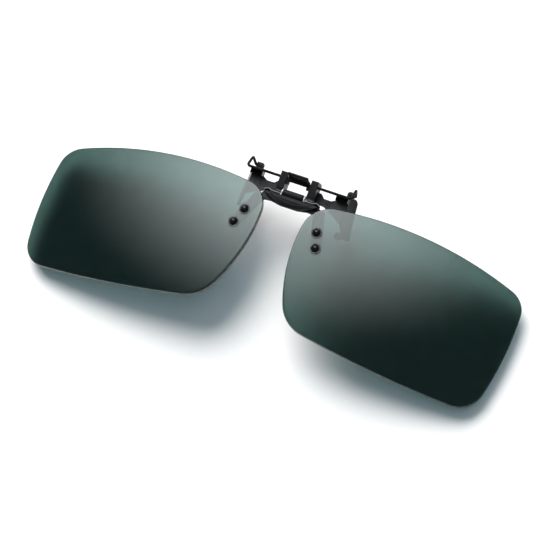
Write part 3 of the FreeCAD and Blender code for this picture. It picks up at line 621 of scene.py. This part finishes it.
def hole_cutter(centre, axis, around=48):
    """A plain rod, longer than the lens is thick, to cut a rivet's hole."""
    first, second = axes_round(axis)
    turn = np.linspace(0, 2 * np.pi, around, endpoint=False)
    ring = hole_radius * (np.cos(turn)[:, None] * first + np.sin(turn)[:, None] * second)
    points = np.concatenate([centre + ring - axis * cutter_reach,
                             centre + ring + axis * cutter_reach])
    side = [(i, (i + 1) % around, around + (i + 1) % around, around + i)
            for i in range(around)]
    ends = [tuple(range(around - 1, -1, -1)), tuple(range(around, 2 * around))]
    mesh = bpy.data.meshes.new("cutter")
    mesh.from_pydata(points.tolist(), [], side + ends)
    cutter = bpy.data.objects.new("cutter", mesh)
    bpy.context.scene.collection.objects.link(cutter)
    return cutter


for name, side in SIDES:
    axes = lens_axes(side)
    middle, angle, distance = lens_outline(f"{name}_lens", axes, 320)
    local = lens_rings(middle, angle, distance)
    whole = np.array(axes)
    rings = local @ whole[:3, :3].T + whole[:3, 3]
    lens = stacked(f"{name}_tinted_lens", rings, f"{name}_lens")
    bored(lens, [hole_cutter(*washer_spot(f"{name}_{level}_washer"))
                 for level in ("upper", "lower")])
    lens.data.shade_smooth()
    lens.data.set_sharp_from_angle(angle=math.radians(35))
    print(name, "lens", len(lens.data.polygons), "faces, reach",
          round(distance.min() / MM, 2), "to", round(distance.max() / MM, 2), "mm")

# %% [markdown]
# ## Rivets
#
# Each lens hangs on two black rivets with domed heads.  A clear plastic bush lines the
# hole and shows as a pale ring under the head, and a clear washer keeps the lens off
# the metal arm.  All of them are turned parts, so each is a profile of radius and
# height turned about the rivet's axis.  That axis is found from the washer in the
# frame, as the direction in which its points spread least.

# %% Rivets, bushes and washers
head_radius, head_height, shank_radius = 1.22 * MM, 0.75 * MM, 0.55 * MM
flange_radius, flange_height = 1.5 * MM, 0.2 * MM
flange_ease_in, flange_ease_down = 0.05 * MM, 0.06 * MM      # softened corner of the flange
tail_radius, tail_height, arm_wall = 0.85 * MM, 0.35 * MM, 0.6 * MM
sleeve_radius, running_gap, washer_wall = 0.88 * MM, 0.03 * MM, 0.3 * MM
washer_ease_in, washer_ease_down = 0.04 * MM, 0.05 * MM      # softened corners of the washer
rivet_bore = shank_radius + running_gap
washer_top, washer_foot = -lens_wall - 2 * running_gap, -(lens_wall + washer_wall)


def arc(centre, radius, start, stop, steps):
    """Points (radius, height) on an arc; angles are in degrees from outward, up."""
    turn = np.radians(np.linspace(start, stop, steps))
    return [(centre[0] + radius * math.cos(t), centre[1] + radius * math.sin(t)) for t in turn]


def dome(radius, height, base, steps=12):
    """The profile of a spherical dome from its rim to its top."""
    ball = (radius ** 2 + height ** 2) / (2 * height)
    low = math.degrees(math.asin((ball - height) / ball))
    return arc((0, base + height - ball), ball, low, 90, steps)


def rivet_profile():
    """From the hammered tail behind the arm, along the shank, to the top of the dome."""
    tail = washer_foot - arm_wall
    foot = [(0, tail - tail_height), (tail_radius * 0.7, tail - tail_height)]
    side = arc((tail_radius * 0.8, tail - tail_height * 0.5), tail_radius * 0.2, -70, 60, 5)
    shank = [(tail_radius * 0.98, tail), (shank_radius, tail), (shank_radius, flange_height),
             (head_radius * 0.97, flange_height)]
    head = dome(head_radius, head_height, flange_height)[:-1]
    return foot + side + shank + head + [(0, flange_height + head_height)]


def bush_profile():
    """Up the bore, over the flange and down the sleeve in the lens's hole."""
    return [(rivet_bore, -lens_wall), (rivet_bore, flange_height),
            (flange_radius - flange_ease_in, flange_height),
            (flange_radius, flange_height - flange_ease_down), (flange_radius, running_gap),
            (sleeve_radius, running_gap), (sleeve_radius, -lens_wall)]


def washer_profile():
    """Up the bore, over the top and down the rim."""
    return [(rivet_bore, washer_foot), (rivet_bore, washer_top),
            (flange_radius - washer_ease_in, washer_top),
            (flange_radius, washer_top - washer_ease_down),
            (flange_radius, washer_foot + washer_ease_down),
            (flange_radius - washer_ease_in, washer_foot)]


for name, _ in SIDES:
    for level in ("upper", "lower"):
        node = f"{name}_{level}"
        middle, outward = washer_spot(f"{node}_washer")
        washer_front = (points_of(f"{node}_washer") @ outward).max() - middle @ outward
        seat = middle + outward * (washer_front + lens_wall + 2 * running_gap)
        lathed(f"{node}_rivet_turned", seat, outward, rivet_profile(), f"{node}_rivet")
        lathed(f"{node}_bush_turned", seat, outward, bush_profile(), f"{node}_bush", hollow=True)
        lathed(f"{node}_washer_turned", seat, outward, washer_profile(), f"{node}_washer",
               hollow=True)
print("12 turned pieces at the four rivets")

# %% [markdown]
# ## The claw wire
#
# One wire, 0.74 mm thick, runs through both slide blocks.  At each end it hooks up,
# back and down to a claw that presses on the back of the spectacle lens.  A wire is a
# circle carried along a path: straight runs joined by small arcs where the pliers bent
# it.  Each arc touches both runs, so it starts short of the corner by its radius
# divided by the tangent of half the angle between them.

# %% Path of the wire
wire_radius, right_bends = 0.37 * MM, np.array([0.8, 0.8, 0.45]) * MM
right_half = np.array([(14.9, 0.5, 4.0), (14.7, 2.2, 6.9), (14.3, 5.5, 5.55),
                       (12.3, 5.5, 5.55)]) * MM


def bent(points, bends, steps=9):
    """The path through points with a tangent arc at each corner, of its own radius."""
    path = [points[0]]
    for before, corner, after, bend in zip(points, points[1:], points[2:], bends):
        inward = (before - corner) / np.linalg.norm(before - corner)
        outward = (after - corner) / np.linalg.norm(after - corner)
        half = math.acos(np.clip(inward @ outward, -1, 1)) / 2
        to_centre = (inward + outward) / np.linalg.norm(inward + outward)
        centre = corner + to_centre * bend / math.sin(half)
        first = corner + inward * bend / math.tan(half) - centre
        last = corner + outward * bend / math.tan(half) - centre
        sweep = np.pi - 2 * half
        share = np.linspace(0, 1, steps)[:, None]
        path += list(centre + (np.sin((1 - share) * sweep) * first
                               + np.sin(share * sweep) * last) / math.sin(sweep))
    return np.array(path + [points[-1]])


end_depth, end_face, end_widening = 0.5, 0.5, 2.2      # shape of a bar's softened end


def end_ring(place, inward, spoke, radius, rise):
    """One ring of a bar's end; rise runs from 0 at its middle to a quarter turn at its rim."""
    width = 1 - end_face * (1 - math.sin(rise) ** 0.5)
    closing = min(1.0, end_widening * rise)
    return (place + inward * radius * end_depth * (1 - math.sin(rise))
            + spoke * radius * width * closing)


def tube(name, path, radius, node, around=24):
    """A round bar along a path with softly rounded ends.

    Each ring is square to the path, and its axes are the last ring's axes turned by the
    smallest turn, so the bar doesn't twist.
    """
    way = np.gradient(path, axis=0)
    way /= np.linalg.norm(way, axis=1)[:, None]
    turn = np.linspace(0, 2 * np.pi, around, endpoint=False)
    first = axes_round(way[0])[0]
    spokes = []
    for forward in way:
        first = first - forward * (first @ forward)
        first /= np.linalg.norm(first)
        second = np.cross(forward, first)
        spokes.append(np.cos(turn)[:, None] * first + np.sin(turn)[:, None] * second)
    rises = np.linspace(0, np.pi / 2, 5)[:-1]
    start = [end_ring(path[0], way[0], spokes[0], radius, rise) for rise in rises]
    stop = [end_ring(path[-1], -way[-1], spokes[-1], radius, rise) for rise in rises]
    middle = [place + spoke * radius for place, spoke in zip(path[1:-1], spokes[1:-1])]
    return stacked(name, np.array(start + middle + stop[::-1]), node)


left_half = right_half[::-1] * (-1, 1, 1)
wire_path = bent(np.concatenate([left_half, right_half]), [*right_bends[::-1], *right_bends])
tube("claw_wire_bent", wire_path, wire_radius, "claw_wire")
print("wire", round(np.linalg.norm(np.diff(wire_path, axis=0), axis=1).sum() / MM, 1), "mm long")

# %% [markdown]
# ## The springs
#
# A small coil spring sits in each slide block, under the head of the guide post.  It is
# a wire carried along a helix.  When the claws open, the block's floor rises towards the
# post's fixed head and would squash the spring; here the spring keeps its rest length.

# %% Springs
spring_radius, spring_wire, spring_turns = 0.52 * MM, 0.08 * MM, 5
spring_foot, spring_top, post_head = 1.35 * MM, 4.75 * MM, 4.85 * MM
spring_away, spring_back, pressed_share = 4.3 * MM, 1.95 * MM, 0.15


def helix(centre, steps=24):
    """Points of the helix: radius times (cos, sin) of the turn, rising evenly."""
    turn = np.linspace(0, 2 * np.pi * spring_turns, steps * spring_turns + 1)
    rise = np.linspace(spring_foot, spring_top, len(turn))
    return np.stack([centre + spring_radius * np.cos(turn),
                     spring_back + spring_radius * np.sin(turn), rise], -1)


for name, side in SIDES:
    spring = tube(f"{name}_spring_coiled", helix(side * spring_away), spring_wire,
                  f"{name}_spring", around=12)
    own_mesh(spring)
print("springs", round((spring_top - spring_foot) / MM, 2), "mm long at rest")

# %% [markdown]
# ## Rubber boots
#
# Each of the four claws ends in a small rubber boot that keeps it from scratching the
# spectacles.  A boot is a blind tube with a lip at its mouth, two soft grip ribs and a
# round nose.  It is turned about the claw's own line, which lies along X, so its place
# and length come straight from the frame's box for that node.

# %% Boots
lower_claw_radius, boot_clearance = 0.4 * MM, 0.004 * MM
lip_depth = 0.03 * MM
rib_start, rib_end, rib_waves, rib_swell = 0.08, 0.62, 3, 0.07      # shares of the boot


def boot_profile(length, radius, bore):
    """(radius, height) from the floor of the bore, round the lip and ribs, to the nose."""
    body = np.linspace(rib_start, rib_end, 22)
    wave = np.cos((body - rib_start) / (rib_end - rib_start) * rib_waves * 2 * np.pi)
    ribs = radius * (1 - rib_swell + rib_swell * wave)
    nose = arc((radius * 0.25, length - radius * 0.62), radius * 0.62, 10, 90, 9)
    nose = [(min(r + radius * 0.06, radius * 0.93), h) for r, h in nose]
    return ([(0, length * 0.8), (bore, length * 0.8), (bore, lip_depth), (bore * 1.1, 0)]
            + [(radius * 0.94, 0), (radius, length * 0.03)]
            + list(zip(ribs, body * length)) + nose + [(0, length)])


for level, claw_radius in (("upper", wire_radius), ("lower", lower_claw_radius)):
    for name, side in SIDES:
        low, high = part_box(f"{name}_{level}_boot")
        mouth = Vector((high.x if side > 0 else low.x, (low.y + high.y) / 2,
                        (low.z + high.z) / 2))
        lathed(f"{name}_{level}_boot_turned", mouth, (-side, 0, 0),
               boot_profile(high.x - low.x, (high.z - low.z) / 2, claw_radius + boot_clearance),
               f"{name}_{level}_boot")
print("4 boots")

# %% [markdown]
# ## Sheet metal with real edges
#
# A stamped edge is never knife sharp: it has a small round that catches the light, and
# without it the parts look cut from paper.  The frame's parts must keep their meshes,
# so each gets a stand-in: a copy whose doubled points are merged and whose flat faces
# are joined again, with a Bevel modifier on every corner sharper than a set angle.

# %% Soften the edges
copy_weld, flat_angle = 5e-7, math.radians(0.6)      # metres, and the bend of a flat face


def softened(node, round_by, angle=38.0):
    """A copy of a CAD part that stands for it, each edge past the angle rounded."""
    mesh = frame["nodes"][node].data.copy()
    mesh.name = f"{node}_softened"
    tidy = bmesh.new()
    tidy.from_mesh(mesh)
    bmesh.ops.remove_doubles(tidy, verts=tidy.verts, dist=copy_weld)
    bmesh.ops.dissolve_limit(tidy, angle_limit=flat_angle, verts=tidy.verts,
                             edges=tidy.edges)
    tidy.to_mesh(mesh)
    tidy.free()
    piece = bpy.data.objects.new(f"{node}_softened", mesh)
    bpy.context.scene.collection.objects.link(piece)
    mesh.shade_smooth()
    mesh.set_sharp_from_angle(angle=math.radians(angle))
    bevel = piece.modifiers.new("edge_round", "BEVEL")
    bevel.width, bevel.segments = round_by, 2
    bevel.limit_method, bevel.angle_limit = "ANGLE", math.radians(angle)
    bevel.harden_normals = True
    return settle(piece, node)


# how far each edge is rounded, in mm
SOFTEN = {"bridge_plate": 0.07, "brow_crescent": 0.14, "clip_plate": 0.08, "thumb_bar": 0.08,
          "detent_leaf": 0.03}
for name, _ in SIDES:
    SOFTEN.update({f"{name}_brow_rim": 0.06, f"{name}_hinge_bracket": 0.07,
                   f"{name}_slide_block": 0.12, f"{name}_block_cap": 0.05,
                   f"{name}_guide_post": 0.04})
for node, amount in SOFTEN.items():
    softened(node, amount * MM)
print(len(SOFTEN), "parts with rounded edges")

# %% [markdown]
# ## The bead on the brow
#
# The brow is pressed with a raised bead that follows its arched lower edge, a little
# inside it.  The bead is a thin round bar half sunk in the face: its height is the
# arch's, and it leans back where the face curves away below.

# %% Bead
bead_inset, bead_radius, bead_half = 0.95 * MM, 0.2 * MM, 5.9 * MM
arch_radius, arch_half, arch_tip = 13.2 * MM, 7.5 * MM, -1.45 * MM
face_front, face_lean = -0.93 * MM, 0.13          # foremost line, and backward lean below it


def bead_path(steps=41):
    """z = tip - (sqrt(R^2 - x^2) - sqrt(R^2 - half^2)) + inset, tipped with the lens unit."""
    x = np.linspace(-bead_half, bead_half, steps)
    drop = np.sqrt(arch_radius ** 2 - x ** 2) - math.sqrt(arch_radius ** 2 - arch_half ** 2)
    z = arch_tip - drop + bead_inset
    y = face_front - face_lean * (z - z.max())
    turn = np.array(Matrix.Rotation(-rest_flip, 3, "X"))
    return np.stack([x, y, z], -1) @ turn.T


tube("brow_bead", bead_path(), bead_radius, "brow_crescent", around=16)
print("bead", round(2 * bead_half / MM, 1), "mm across")
